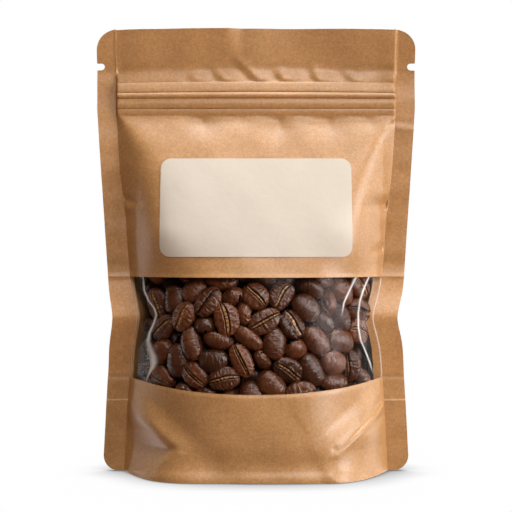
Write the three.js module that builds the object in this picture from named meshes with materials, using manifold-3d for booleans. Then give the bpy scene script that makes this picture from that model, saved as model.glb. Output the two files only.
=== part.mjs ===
// A stand-up coffee pouch: a kraft paper bag with welded side seals, a press-to-close zip, tear notches
// and an opened bottom gusset, with a clear window that shows the beans, and a blank paper label.
// Millimetres, +Z up, the front faces -Y, origin at the middle of the base.
import * as THREE from "three";
import { ParametricGeometry } from "three/addons/geometries/ParametricGeometry.js";
import { mergeGeometries, mergeVertices } from "three/addons/utils/BufferGeometryUtils.js";
import Module from "manifold-3d";

const wasm = await Module();
wasm.setup();

const { clamp, degToRad, lerp, smoothstep } = THREE.MathUtils;

// Outline of the pouch, seen from the front
const WIDTH = 110; // across the side seals, above the zip
const HEIGHT = 152; // as it stands
const WAIST_HEIGHT = 53; // where the side seals buckle
const WAIST_HALF = 50.2; // half width there, before the pinch
const UPPER_FLARE = 0.0665; // growth of the half width per millimetre above the waist
const LOWER_FLARE = 0.052; // and below it
const PINCH = 1.3; // the buckle draws each seal in by this much more
const PINCH_SPAN = 7;
const KINK = 5.2; // the buckle folds each seal forward by this much
const KINK_ROUND = 1.6;
const KINK_SPAN = 17; // and runs out this far above and below
const KINK_EASE = 1.3;
const TOP_CORNER = 6.6; // corner radii
const BASE_CORNER = 5.5;

// Welded side seals
const SEAL_TOP = 6.5; // width near the top
const SEAL_LOW = 7.4; // width below the label
const SEAL_WAIST = 0.7; // extra width at the waist
const SEAL_WAIST_SPAN = 12;
const SEAL_CHANGE = [85, 104]; // heights between which the width changes
const SEAL_HALF = 0.4; // half the thickness of the two welded panels
const NOTCH_HEIGHT = 139.2; // tear notches
const NOTCH_WIDTH = 2.4;
const NOTCH_DEPTH = 2.6;

// Depth of the filled body, from the middle plane to the front panel
const BASE_DEPTH = 26.3;
const BELLY_DEPTH = 26.6;
const BELLY_HEIGHT = 40; // where the body is deepest
const BELLY_TAPER = 1.9; // exponent of the slope from the belly up to the zip

// Exponents of the body's cross-section: an oval base, a lens at the belly, flat above
const BASE_SQUARENESS = 5.3;
const BELLY_SQUARENESS = 2.8;
const SHOULDER_SQUARENESS = 7;
const HEADER_SQUARENESS = 14;
const CORNER_SLOPE = 0.85; // the base's form ends at a line that rises from each dimple to the seal
const CORNER_BLEND = 6;
const SHOULDER = [62, 84]; // heights between which the lens flattens
const HEADER_START = 98;

// Bottom gusset
const GUSSET_HEIGHT = 24.4; // top of the folded gusset in the side seals
const CORNER_FOLD_X = 27.2; // the dimple at the end of each curved gusset weld
const CORNER_FOLD_Z = 9.5;
const CORNER_FOOT_X = 25; // where that weld reaches the floor
const CORNER_FOLD_DEPTH = 1.6;
const CORNER_FOLD_SPAN = 2.8;
const HEM = 1.2; // thickness of the bottom hem
const GROOVE_HEIGHT = 3; // the gusset leaves the hem this far above the floor
const GROOVE_INNER = 0.55; // share of the base's depth that is pressed flat on the floor

// Zip and header
const ZIP_BOTTOM = 122.6;
const ZIP_TOP = 134;
const ZIP_HALF = 1.5; // half thickness of the zip's flanges
const ZIP_BANDS = [
  { from: ZIP_BOTTOM, to: 125.2, rise: 0.5 },
  { from: 125.2, to: 128.4, rise: 0.8 },
  { from: 128.4, to: 130.8, rise: 1.5 }, // the press-together profile
  { from: 130.8, to: ZIP_TOP, rise: 0.9 },
];
const HEADER_SWELL = 0.5;
const TOP_HALF = 0.5; // half thickness of the shut top edge
const ZIP_SET_BACK = 2.3; // the zip lies this far behind the middle plane
const SET_BACK = [117, 137]; // heights between which it goes back
const TOP_LEAN = 3; // and the shut top edge leans forward again
const LEAN_START = 134.5;

// Window, film and contents
const WINDOW_TOP = 67;
const WINDOW_SIDE = 32.4; // the lower edge, at the side seals
const WINDOW_SAG = 3.5; // and how far it hangs lower at the middle
const WINDOW_MARGIN = 2.6; // from the inner edge of each seal to the window's end
const PAPER = 0.8; // front wall at the window's rim
const BACK_WALL = 2; // wall behind the contents
const REBATE = 1.3; // the film and contents reach this far behind the rim
const GAP = 0.35; // clearance between separate pieces
const FILM = 0.5;
const CORE_SET_BACK = 3.6; // the core of the bean heap lies this far behind the film
const BEAN = { length: 10.9, width: 7.6, thick: 5.6 };
const BEAN_COLUMNS = 10;
const BEAN_ROWS = 5;
const BEAN_JITTER = 1.3;
const BEAN_TILT = 24; // degrees
const BEAN_SEED = 7;

// Label
const LABEL_WIDTH = 64.4;
const LABEL_BOTTOM = 73.8;
const LABEL_TOP = 107.2;
const LABEL_CORNER = 3.6;
const LABEL_THICK = 0.4;

// Fineness of the faceted surfaces
const BODY_COLUMNS = 28;
const ROW_STEP = 4.1;
const HEADER_ROWS = 4;
const WINDOW_COLUMNS = 18;
const WINDOW_ROWS = 6;
const LABEL_COLUMNS = 12;
const LABEL_ROWS = 8;
const CORNER_STEPS = 6;
const BEAN_SIDES = 6;
const BEAN_RINGS = 5;

const MATERIALS = {
  kraft: new THREE.MeshStandardMaterial({ color: 0xb98a5b, roughness: 0.7, metalness: 0 }),
  film: new THREE.MeshStandardMaterial({
    color: 0xe8eaec,
    roughness: 0.08,
    metalness: 0,
    transparent: true,
    opacity: 0.25,
  }),
  beans: new THREE.MeshStandardMaterial({ color: 0x4a2a1c, roughness: 0.45, metalness: 0 }),
  label: new THREE.MeshStandardMaterial({ color: 0xe8dfd0, roughness: 0.75, metalness: 0 }),
};

const bell = (x) => Math.exp(-x * x);

// Half width to the outer edge of the side seals.
function edgeHalf(z) {
  const rise = z - WAIST_HEIGHT;
  const flare = rise > 0 ? UPPER_FLARE : LOWER_FLARE;
  return Math.min(WIDTH / 2, WAIST_HALF + flare * Math.abs(rise)) - PINCH * bell(rise / PINCH_SPAN);
}

// Half width to the inner edge of the side seals, where the body starts.
function bodyHalf(z) {
  const low = 1 - smoothstep(z, ...SEAL_CHANGE);
  const waist = bell((z - WAIST_HEIGHT) / SEAL_WAIST_SPAN);
  return edgeHalf(z) - lerp(SEAL_TOP, SEAL_LOW, low) - SEAL_WAIST * waist;
}

// How far the buckled seals stand forward of the middle plane.
function sealShift(z) {
  const away = Math.hypot(z - WAIST_HEIGHT, KINK_ROUND) - KINK_ROUND;
  return -KINK * Math.max(1 - away / KINK_SPAN, 0) ** KINK_EASE;
}

// Half depth of the zip and of the header above it.
function headerDepth(z) {
  const band = ZIP_BANDS.find(({ from, to }) => z >= from && z <= to);
  if (band) {
    const across = (2 * z - band.from - band.to) / (band.to - band.from);
    return ZIP_HALF + band.rise * (1 - across * across);
  }
  const up = clamp((z - ZIP_TOP) / (HEIGHT - ZIP_TOP), 0, 1);
  return lerp(ZIP_HALF, TOP_HALF, up) + HEADER_SWELL * Math.sin(Math.PI * up);
}

// Half depth at the middle of the pouch.
function centreDepth(z) {
  if (z >= ZIP_BOTTOM) return headerDepth(z);
  if (z > BELLY_HEIGHT) {
    const up = (z - BELLY_HEIGHT) / (ZIP_BOTTOM - BELLY_HEIGHT);
    return lerp(BELLY_DEPTH, ZIP_HALF, up ** BELLY_TAPER);
  }
  const down = (BELLY_HEIGHT - z) / BELLY_HEIGHT;
  return lerp(BELLY_DEPTH, BASE_DEPTH, down * down);
}

// Share of the way from the middle to a seal.
const acrossBody = (x, z) => Math.min(Math.abs(x) / bodyHalf(z), 1);

// Exponent of the body's curve across: high where it is flat with tight ends.
function squareness(x, z) {
  const corner = CORNER_FOLD_Z + CORNER_SLOPE * (Math.abs(x) - CORNER_FOLD_X);
  const above = smoothstep(z, corner - CORNER_BLEND, corner + CORNER_BLEND);
  const shoulder = (SHOULDER_SQUARENESS - BELLY_SQUARENESS) * smoothstep(z, ...SHOULDER);
  const header = (HEADER_SQUARENESS - SHOULDER_SQUARENESS) * smoothstep(z, HEADER_START, ZIP_BOTTOM);
  return lerp(BASE_SQUARENESS, BELLY_SQUARENESS, above) + shoulder + header;
}

// Half depth of the pouch at any place, from the middle plane to one panel.
function panelDepth(x, z) {
  return SEAL_HALF + (centreDepth(z) - SEAL_HALF) * (1 - acrossBody(x, z) ** squareness(x, z));
}

// Shift of both panels: the zip set back, the lean of the shut top, and the buckle of the seals.
function middleShift(x, z) {
  const setBack = ZIP_SET_BACK * smoothstep(z, ...SET_BACK);
  const lean = TOP_LEAN * clamp((z - LEAN_START) / (HEIGHT - LEAN_START), 0, 1);
  return setBack - lean + sealShift(z) * acrossBody(x, z) ** 4;
}

// Distance from a point to the segment between two others, with the share along it.
function alongSegment(point, start, end) {
  const way = end.clone().sub(start);
  const share = clamp(point.clone().sub(start).dot(way) / way.lengthSq(), 0, 1);
  return { share, distance: point.distanceTo(way.multiplyScalar(share).add(start)) };
}

// The crease along the curved gusset weld in each bottom corner, deepest at its dimple.
function cornerFold(x, z) {
  const point = new THREE.Vector2(Math.abs(x), z);
  const dimple = new THREE.Vector2(CORNER_FOLD_X, CORNER_FOLD_Z);
  const upper = alongSegment(point, dimple, new THREE.Vector2(bodyHalf(GUSSET_HEIGHT), GUSSET_HEIGHT));
  const lower = alongSegment(point, dimple, new THREE.Vector2(CORNER_FOOT_X, 0));
  const nearest = upper.distance < lower.distance ? upper : lower;
  return CORNER_FOLD_DEPTH * (1 - 0.7 * nearest.share) * bell(nearest.distance / CORNER_FOLD_SPAN);
}

const frontY = (x, z) => middleShift(x, z) - panelDepth(x, z);
const backY = (x, z) => middleShift(x, z) + panelDepth(x, z);
const foldedPanel = (x, z) => (Math.abs(x) < bodyHalf(z) ? cornerFold(x, z) * smoothstep(z, 0, 2) : 0);

// Lower edge of the window, which hangs lower at the middle.
function windowBottom(x) {
  const across = Math.min(Math.abs(x) / bodyHalf(WINDOW_SIDE), 1);
  return WINDOW_SIDE - WINDOW_SAG * (1 - across * across);
}

// A closed geometry, or several, as a solid that can be cut and joined; flattened triangles are left out.
function solidFrom(...geometries) {
  const plain = geometries.map((geometry) => {
    const copy = geometry.index ? geometry.toNonIndexed() : geometry.clone();
    copy.deleteAttribute("normal");
    copy.deleteAttribute("uv");
    return copy;
  });
  const merged = mergeVertices(mergeGeometries(plain), 1e-4);
  const corners = merged.index.array;
  const triVerts = [];
  for (let i = 0; i < corners.length; i += 3) {
    const [a, b, c] = corners.slice(i, i + 3);
    if (a !== b && b !== c && c !== a) triVerts.push(a, b, c);
  }
  return new wasm.Manifold(
    new wasm.Mesh({
      numProp: 3,
      vertProperties: merged.getAttribute("position").array,
      triVerts: new Uint32Array(triVerts),
    }),
  );
}

function geometryFrom(solid) {
  const mesh = solid.getMesh();
  const geometry = new THREE.BufferGeometry();
  geometry.setAttribute("position", new THREE.BufferAttribute(mesh.vertProperties, 3));
  geometry.setIndex(new THREE.BufferAttribute(mesh.triVerts, 1));
  geometry.computeVertexNormals();
  return geometry;
}

function namedMesh(name, solid, material) {
  const mesh = new THREE.Mesh(geometryFrom(solid), material);
  mesh.name = name;
  return mesh;
}

// A closed block of columns and rows: place(x share, z share, -1 front to 1 back, point) puts its vertices.
function block(columns, rows, place) {
  const panel = (side) =>
    new ParametricGeometry(
      (u, v, point) => place(side < 0 ? u : 1 - u, v, side, point),
      columns,
      rows,
    );
  const flank = (u) =>
    new ParametricGeometry((w, v, point) => place(u, v, u ? 2 * w - 1 : 1 - 2 * w, point), 1, rows);
  const lid = (v) =>
    new ParametricGeometry((u, w, point) => place(u, v, v ? 2 * w - 1 : 1 - 2 * w, point), columns, 1);
  return solidFrom(panel(-1), panel(1), flank(0), flank(1), lid(0), lid(1));
}

// Shares across a body from -1 to 1, closer together near the seals.
const spread = (share) => Math.sin((share - 0.5) * Math.PI);

// Heights of the pouch's rows: even steps, every edge and crest of the zip's bands, and the header.
function rowHeights() {
  const below = Math.round(ZIP_BOTTOM / ROW_STEP);
  const heights = Array.from({ length: below }, (_, row) => (ZIP_BOTTOM * row) / below);
  for (const { from, to } of ZIP_BANDS) heights.push(from, lerp(from, to, 0.25), lerp(from, to, 0.75));
  for (let row = 0; row <= HEADER_ROWS; row += 1) heights.push(lerp(ZIP_TOP, HEIGHT, row / HEADER_ROWS));
  return heights;
}

// Where column u of a row lies: one column for each seal, the rest across the body.
function columnX(u, z) {
  const column = Math.round(u * (BODY_COLUMNS + 2));
  if (column === 0) return -edgeHalf(z);
  if (column === BODY_COLUMNS + 2) return edgeHalf(z);
  return bodyHalf(z) * spread((column - 1) / BODY_COLUMNS);
}

// Shares of the base's depth, from the hem's outside over the groove to the flat middle.
function baseStations() {
  const hem = 1 - HEM / BASE_DEPTH;
  const inwards = [1, hem, hem - 0.02, (hem + GROOVE_INNER) / 2, GROOVE_INNER];
  return [...inwards.map((share) => -share), ...inwards.reverse()];
}

// The gusset's height over the floor at a share of the base's depth.
function gussetHeight(x, share) {
  const out = Math.abs(share);
  const hem = 1 - HEM / BASE_DEPTH;
  if (out <= GROOVE_INNER || out >= hem) return 0;
  const depth = Math.min(GROOVE_HEIGHT, 0.25 * (panelDepth(x, 0) - SEAL_HALF));
  return (depth * (out - GROOVE_INNER)) / (hem - GROOVE_INNER);
}

// The whole outside of the pouch as one closed body.
function pouchEnvelope() {
  const heights = rowHeights();
  const rows = heights.length - 1;
  const columns = BODY_COLUMNS + 2;
  const stations = baseStations();
  const at = (u, z, side, point) => {
    const x = columnX(u, z);
    const y = side < 0 ? frontY(x, z) + foldedPanel(x, z) : backY(x, z) - foldedPanel(x, z);
    return point.set(x, y, z);
  };
  const rowZ = (v) => heights[Math.round(v * rows)];
  const front = new ParametricGeometry((u, v, p) => at(u, rowZ(v), -1, p), columns, rows);
  const back = new ParametricGeometry((u, v, p) => at(1 - u, rowZ(v), 1, p), columns, rows);
  const left = new ParametricGeometry((w, v, p) => at(0, rowZ(v), 1 - 2 * w, p), 1, rows);
  const right = new ParametricGeometry((w, v, p) => at(1, rowZ(v), 2 * w - 1, p), 1, rows);
  const top = new ParametricGeometry((u, w, p) => at(u, HEIGHT, 2 * w - 1, p), columns, 1);
  const base = new ParametricGeometry(
    (u, w, point) => {
      const station = stations[Math.round(w * (stations.length - 1))];
      const share = u === 0 || u === 1 ? Math.sign(station) : station;
      const x = columnX(1 - u, 0);
      const y = middleShift(x, 0) + share * panelDepth(x, 0);
      return point.set(x, y, gussetHeight(x, share));
    },
    columns,
    stations.length - 1,
  );
  return solidFrom(front, back, left, right, top, base);
}

// A prism of an outline drawn in X and Z, through the whole depth of the pouch.
function prism(shape, curveSegments = CORNER_STEPS) {
  const depth = 4 * BELLY_DEPTH;
  const geometry = new THREE.ExtrudeGeometry(shape, { depth, bevelEnabled: false, curveSegments });
  return solidFrom(geometry.rotateX(Math.PI / 2).translate(0, depth / 2, 0));
}

// What rounds off one outer corner: the corner's square less a quarter of a disc.
function cornerCutter(side, z, radius, up) {
  const over = 2; // past the outline
  const edge = edgeHalf(z - (up * radius) / 2);
  const centre = new THREE.Vector2(edge - radius, z - up * radius);
  const shape = new THREE.Shape();
  shape.moveTo(side * centre.x, z);
  for (let step = 1; step <= CORNER_STEPS; step += 1) {
    const angle = (Math.PI / 2) * (1 - step / CORNER_STEPS);
    shape.lineTo(side * (centre.x + radius * Math.cos(angle)), centre.y + up * radius * Math.sin(angle));
  }
  shape.lineTo(side * (edge + over), centre.y);
  shape.lineTo(side * (edge + over), z + up * over);
  shape.lineTo(side * centre.x, z + up * over);
  return prism(shape);
}

// A tear notch: a slot with a round end, cut into the seal's edge.
function notchCutter(side) {
  const half = NOTCH_WIDTH / 2;
  const edge = edgeHalf(NOTCH_HEIGHT);
  const end = edge - NOTCH_DEPTH + half;
  const shape = new THREE.Shape();
  shape.moveTo(side * (edge + half), NOTCH_HEIGHT - half);
  shape.lineTo(side * end, NOTCH_HEIGHT - half);
  for (let step = 1; step < CORNER_STEPS; step += 1) {
    const angle = -Math.PI / 2 - (Math.PI * step) / CORNER_STEPS;
    shape.lineTo(side * (end + half * Math.cos(angle)), NOTCH_HEIGHT + half * Math.sin(angle));
  }
  shape.lineTo(side * end, NOTCH_HEIGHT + half);
  shape.lineTo(side * (edge + half), NOTCH_HEIGHT + half);
  return prism(shape);
}

// Height of a window block's row: the middle one lies at the waist, where the seals fold.
function windowRow(low, high, v) {
  return v < 0.5 ? lerp(low, WAIST_HEIGHT, 2 * v) : lerp(WAIST_HEIGHT, high, 2 * v - 1);
}

// A block behind the window: `out` widens it past the window's outline, and it lies between two depths.
function windowBlock(out, frontDepth, backDepth) {
  return block(WINDOW_COLUMNS, WINDOW_ROWS, (u, v, side, point) => {
    const wide = spread(u) * (bodyHalf(WAIST_HEIGHT) - WINDOW_MARGIN + out);
    const z = windowRow(windowBottom(wide) - out, WINDOW_TOP + out, v);
    const x = (wide * (bodyHalf(z) - WINDOW_MARGIN + out)) / (bodyHalf(WAIST_HEIGHT) - WINDOW_MARGIN + out);
    const y = side < 0 ? frontDepth(x, z) : backDepth(x, z);
    return point.set(x, y, z);
  });
}

// A window block at an even depth behind the front panel.
const layer = (out, start, thick) =>
  windowBlock(
    out,
    (x, z) => frontY(x, z) + start,
    (x, z) => frontY(x, z) + start + thick,
  );

const FILM_START = PAPER + GAP;
const HEAP_START = FILM_START + FILM + GAP;

// The room behind the front wall for the film and the contents.
const pocketCutter = () =>
  windowBlock(
    REBATE,
    (x, z) => frontY(x, z) + PAPER,
    (x, z) => backY(x, z) - BACK_WALL,
  );

function pouch() {
  let solid = pouchEnvelope();
  for (const side of [-1, 1]) {
    solid = solid.subtract(cornerCutter(side, HEIGHT, TOP_CORNER, 1));
    solid = solid.subtract(cornerCutter(side, 0, BASE_CORNER, -1));
    solid = solid.subtract(notchCutter(side));
  }
  const opening = layer(0, -2, 2 + HEAP_START);
  return solid.subtract(opening.add(pocketCutter()));
}

const film = () => layer(REBATE - GAP, FILM_START, FILM);

// Repeatable random numbers from 0 to 1.
function seededRandom(seed) {
  let state = seed;
  return () => {
    state = (Math.imul(state, 1664525) + 1013904223) >>> 0;
    return state / 2 ** 32;
  };
}

// One bean along X: round on one side, flat with a cleft along the other, which faces -Y.
function beanGeometry() {
  const geometry = new THREE.SphereGeometry(0.5, BEAN_SIDES, BEAN_RINGS).rotateZ(Math.PI / 2);
  const position = geometry.getAttribute("position");
  const point = new THREE.Vector3();
  for (let i = 0; i < position.count; i += 1) {
    point.fromBufferAttribute(position, i);
    const flat = point.y < 0 ? 0.5 : 1;
    const cleft = point.y < 0 && Math.abs(point.z) < 0.05 ? 0.35 : 1;
    position.setXYZ(i, point.x * BEAN.length, point.y * flat * cleft * BEAN.thick, point.z * BEAN.width);
  }
  return geometry;
}

// A bean turned and set against the inside of the film, with nothing past the heap's room.
function placedBean(x, z, random) {
  const turn = new THREE.Euler(
    degToRad(BEAN_TILT) * (2 * random() - 1),
    Math.PI * 2 * random(),
    degToRad(BEAN_TILT) * (2 * random() - 1) + (random() < 0.5 ? Math.PI : 0),
    "ZXY",
  );
  const geometry = beanGeometry().applyMatrix4(new THREE.Matrix4().makeRotationFromEuler(turn));
  geometry.computeBoundingBox();
  const set = frontY(x, z) + HEAP_START + 0.8 * random() - geometry.boundingBox.min.y;
  geometry.translate(x, set, z);
  return geometry;
}

// The heap seen through the window: a core with one layer of beans fused to its front.
function beans() {
  const random = seededRandom(BEAN_SEED);
  const room = REBATE - GAP;
  const front = (x, z) => frontY(x, z) + HEAP_START;
  const back = (x, z) => backY(x, z) - BACK_WALL - GAP;
  const coreFront = (x, z) => Math.min(front(x, z) + CORE_SET_BACK, back(x, z) - 1);
  const core = windowBlock(room, coreFront, back);
  const limit = windowBlock(room, front, back);
  const placed = [];
  for (let row = 0; row < BEAN_ROWS; row += 1) {
    for (let column = 0; column < BEAN_COLUMNS; column += 1) {
      const share = (column + 0.5 + 0.25 * (row % 2 ? 1 : -1)) / BEAN_COLUMNS;
      const z = lerp(WINDOW_SIDE - WINDOW_SAG, WINDOW_TOP, (row + 0.5) / BEAN_ROWS);
      const half = bodyHalf(z) - WINDOW_MARGIN - BEAN.thick / 2;
      const x = half * (2 * share - 1) + BEAN_JITTER * (2 * random() - 1);
      placed.push(solidFrom(placedBean(x, z + BEAN_JITTER * (2 * random() - 1), random)));
    }
  }
  const heap = wasm.Manifold.union([core, ...placed]).intersect(limit);
  return heap.decompose().reduce((most, body) => (body.volume() > most.volume() ? body : most));
}

// A thin sticker that follows the front panel.
function label() {
  const half = LABEL_WIDTH / 2;
  const sheet = block(LABEL_COLUMNS, LABEL_ROWS, (u, v, side, point) => {
    const x = (half + 1) * spread(u);
    const z = lerp(LABEL_BOTTOM - 1, LABEL_TOP + 1, v);
    return point.set(x, frontY(x, z) - GAP - (side < 0 ? LABEL_THICK : 0), z);
  });
  const outline = new THREE.Shape();
  const centres = [
    [half - LABEL_CORNER, LABEL_BOTTOM + LABEL_CORNER, -Math.PI / 2],
    [half - LABEL_CORNER, LABEL_TOP - LABEL_CORNER, 0],
    [LABEL_CORNER - half, LABEL_TOP - LABEL_CORNER, Math.PI / 2],
    [LABEL_CORNER - half, LABEL_BOTTOM + LABEL_CORNER, Math.PI],
  ];
  for (const [x, z, start] of centres) {
    outline.absarc(x, z, LABEL_CORNER, start, start + Math.PI / 2, false);
  }
  return sheet.intersect(prism(outline));
}

const coffeeBag = new THREE.Group();
coffeeBag.name = "coffee_bag";
coffeeBag.add(
  namedMesh("pouch", pouch(), MATERIALS.kraft),
  namedMesh("window_film", film(), MATERIALS.film),
  namedMesh("beans", beans(), MATERIALS.beans),
  namedMesh("label", label(), MATERIALS.label),
);

export default coffeeBag;
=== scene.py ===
"""Dresses the coffee bag: kraft paper panels, clear window film, roasted beans and a blank paper label.

Sizes are in millimetres and are turned into metres where a mesh is made. The front faces -Y.
"""

import math

import bpy
import numpy as np
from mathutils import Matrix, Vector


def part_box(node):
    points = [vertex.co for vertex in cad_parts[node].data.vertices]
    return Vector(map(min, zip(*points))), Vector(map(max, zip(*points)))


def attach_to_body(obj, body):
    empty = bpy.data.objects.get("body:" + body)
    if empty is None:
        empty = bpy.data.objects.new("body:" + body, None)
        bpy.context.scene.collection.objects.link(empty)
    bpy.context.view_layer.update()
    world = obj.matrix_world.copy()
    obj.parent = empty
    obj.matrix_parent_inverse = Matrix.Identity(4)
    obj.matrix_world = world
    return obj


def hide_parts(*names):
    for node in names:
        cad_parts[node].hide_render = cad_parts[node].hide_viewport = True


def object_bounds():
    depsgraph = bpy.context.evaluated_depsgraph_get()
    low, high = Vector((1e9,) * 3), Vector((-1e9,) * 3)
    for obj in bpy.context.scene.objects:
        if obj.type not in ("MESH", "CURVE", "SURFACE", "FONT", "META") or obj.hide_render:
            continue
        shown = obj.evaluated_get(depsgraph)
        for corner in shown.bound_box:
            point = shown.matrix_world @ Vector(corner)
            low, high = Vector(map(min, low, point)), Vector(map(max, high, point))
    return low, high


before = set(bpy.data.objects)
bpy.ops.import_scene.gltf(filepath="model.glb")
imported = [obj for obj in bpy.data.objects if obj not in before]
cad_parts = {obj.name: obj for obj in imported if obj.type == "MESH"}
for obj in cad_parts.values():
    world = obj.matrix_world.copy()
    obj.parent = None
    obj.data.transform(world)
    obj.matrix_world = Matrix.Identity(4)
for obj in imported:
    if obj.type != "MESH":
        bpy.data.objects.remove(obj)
cad_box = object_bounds()

MM = 0.001
SEED = 21
SIDES = {"left": -1.0, "right": 1.0}

# Outline, read from the frame where the solid has it
HEIGHT = cad_box[1].z / MM
TOP_EDGE = cad_box[1].x / MM
WAIST_HEIGHT = 53.0
WAIST_HALF = 50.2
UPPER_FLARE = 0.0665
LOWER_FLARE = 0.052
PINCH_LEFT = 1.0
PINCH_RIGHT = 1.7
PINCH_SPAN = 7.0
KINK = 4.4
KINK_ROUND = 1.6
KINK_SPAN = 17.0
KINK_POWER = 1.3
KINK_SPREAD = 4
TOP_CORNER = 6.6
BASE_CORNER = 5.5
NOTCH_HEIGHT = 140.0
NOTCH_HALF = 1.2
NOTCH_DEPTH = 2.6

# Side seals
SEAL_TOP = 6.5
SEAL_LOW = 7.4
SEAL_WAIST = 0.7
SEAL_WAIST_SPAN = 12.0
SEAL_CHANGE = (85.0, 104.0)
SEAL_CURL = 0.55
CURL_RANGE = (56.0, 76.0)
SEAL_HALF = 0.36
SEAL_LEAST = 0.25
PAPER = 0.32
WELD = 0.06
WELD_BORDER = {"left": 0.03, "right": 0.07}
WELD_LAP = 1.5
GUSSET_PLY = 0.22
FILM_SET_BACK = 0.04

# Depth of the body
BASE_DEPTH = 26.3
BELLY_DEPTH = 26.6
BELLY_HEIGHT = 40.0
BELLY_TAPER = 1.65
GUSSET_HEIGHT = 24.4
HEM_HOLLOW = 1.1
HEM_HOLLOW_HEIGHT = 5.6
HEM_HOLLOW_SPAN = 4.2
HEM_HOLLOW_FOOT = 4.0

# Curve across the body: an oval base, which ends along a slanted line, and a lens at the belly
BASE_SQUARENESS = 5.3
BELLY_SQUARENESS = 2.8
CORNER_FOOT = (27.0, 10.0)
CORNER_SLOPE = 0.85
CORNER_BLEND = 11.0

# Bottom corners, left and right: a flat facet from the seal to a ridge that bends at a dimple
RIDGE_HEIGHTS = (0.0, 10.2, 20.5)
RIDGE_HALVES = ((37.0, 27.0, 39.0), (26.4, 27.0, 27.0))
RIDGE_CUTS = (1.0, 0.25)
RIDGE_FADES = ((15.0, 22.0), (9.0, 15.0))
RIDGE_CREASE = 18.0
RIDGE_FOOT = (-2.0, 2.0)

# Higher up, a flat front between slanted side facets that narrow towards the zip
FACET_START = (62.0, 84.0)
FACET_WIDTH = 12.0
FACET_SPREAD = 4.4
FACET_CREASE = 4.0
ZIP_END = 0.5

# Zip and header
ZIP_BOTTOM = 122.6
ZIP_TOP = 134.0
ZIP_HALF = 2.0
FLANGE_STEP = 0.45
FLANGE_SLOPE = 5.6
HEADER_SWELL = 0.14
TOP_HALF = 0.36
ZIP_FOOT_ROUND = 0.8
ZIP_SET_BACK = 1.5
SET_BACK = (110.0, 139.0)
TOP_LIFT = 0.7
TOP_ARCH = 1.1
ARCH_RANGE = (124.0, 140.0)
TOP_LEAN = 3.8
UPRIGHT = 0.6
LEAN_START = 138.0
UPRIGHT_PART = (-11.0, -4.0, 12.0, 32.0)

# Bands of the zip, from below: heights of both edges, depths there, bulge between them and its bluntness
ZIP_BANDS = (
    (ZIP_BOTTOM, 125.15, -0.45, -0.05, 0.3, 1.0),
    (125.15, 128.5, 0.4, 0.45, 0.42, 1.0),
    (128.5, 130.65, 0.75, 0.42, 0.75, 0.85),
    (130.65, ZIP_TOP, 0.78, -0.2, 0.34, 1.0),
)

# Window
WINDOW_TOP = 67.0
WINDOW_SIDE = 32.4
WINDOW_SAG = 3.5
EDGE_CURL = 0.3
EDGE_CURL_SPAN = 0.8


def bell(x):
    return np.exp(-x * x)


def part_way(x, low, high):
    """Share of the way from one value to another, from nought to one."""
    return np.clip((x - low) / (high - low), 0.0, 1.0)


def smooth(x, low, high):
    share = part_way(x, low, high)
    return share * share * (3.0 - 2.0 * share)


def falling(x, low, high):
    return 1.0 - smooth(x, low, high)


def lerp(a, b, share):
    return a + (b - a) * share


# Base form of the pouch


def edge_half(z, side):
    """Half width to the outer edge of the seal on one side, without its corners and notch."""
    rise = z - WAIST_HEIGHT
    flare = np.where(rise > 0, UPPER_FLARE, LOWER_FLARE)
    pinch = np.where(side > 0, PINCH_RIGHT, PINCH_LEFT)
    return np.minimum(TOP_EDGE, WAIST_HALF + flare * np.abs(rise)) - pinch * bell(rise / PINCH_SPAN)


def body_half(z, side):
    """Half width to the inner edge of the seal."""
    low = falling(z, *SEAL_CHANGE)
    waist = bell((z - WAIST_HEIGHT) / SEAL_WAIST_SPAN)
    return edge_half(z, side) - lerp(SEAL_TOP, SEAL_LOW, low) - SEAL_WAIST * waist


def trimmed_edge(z, side):
    """Half width to the seal's outer edge, with rounded corners and the tear notch."""
    edge = edge_half(z, side)
    for radius, away in ((TOP_CORNER, HEIGHT - z), (BASE_CORNER, z)):
        into = np.clip(radius - away, 0.0, radius)
        edge = edge - (radius - np.sqrt(radius**2 - into**2))
    from_notch = np.abs(z - NOTCH_HEIGHT)
    round_end = np.sqrt(np.clip(NOTCH_HALF**2 - from_notch**2, 0.0, None))
    notch = NOTCH_DEPTH - NOTCH_HALF + round_end
    return np.where(from_notch <= NOTCH_HALF, edge - notch, edge)


def seal_shift(z):
    """How far the buckled seals stand forward: a blunt fold at the waist that runs out above and below."""
    away = (np.hypot(z - WAIST_HEIGHT, KINK_ROUND) - KINK_ROUND) / KINK_SPAN
    return -KINK * np.clip(1.0 - away, 0.0, 1.0) ** KINK_POWER


def header_depth(z):
    """Half depth of the zip and the header above it."""
    up = part_way(z, ZIP_TOP, HEIGHT)
    depth = lerp(ZIP_HALF - FLANGE_STEP, TOP_HALF, smooth(z, ZIP_TOP, ZIP_TOP + FLANGE_SLOPE))
    depth = depth + HEADER_SWELL * np.sin(math.pi * up)
    for low, high, foot, top, bulge, bluntness in ZIP_BANDS:
        share = part_way(z, low, high)
        dome = bulge * (4.0 * share * (1.0 - share)) ** bluntness
        depth = np.where((z >= low) & (z < high), ZIP_HALF + lerp(foot, top, share) + dome, depth)
    return depth


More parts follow.
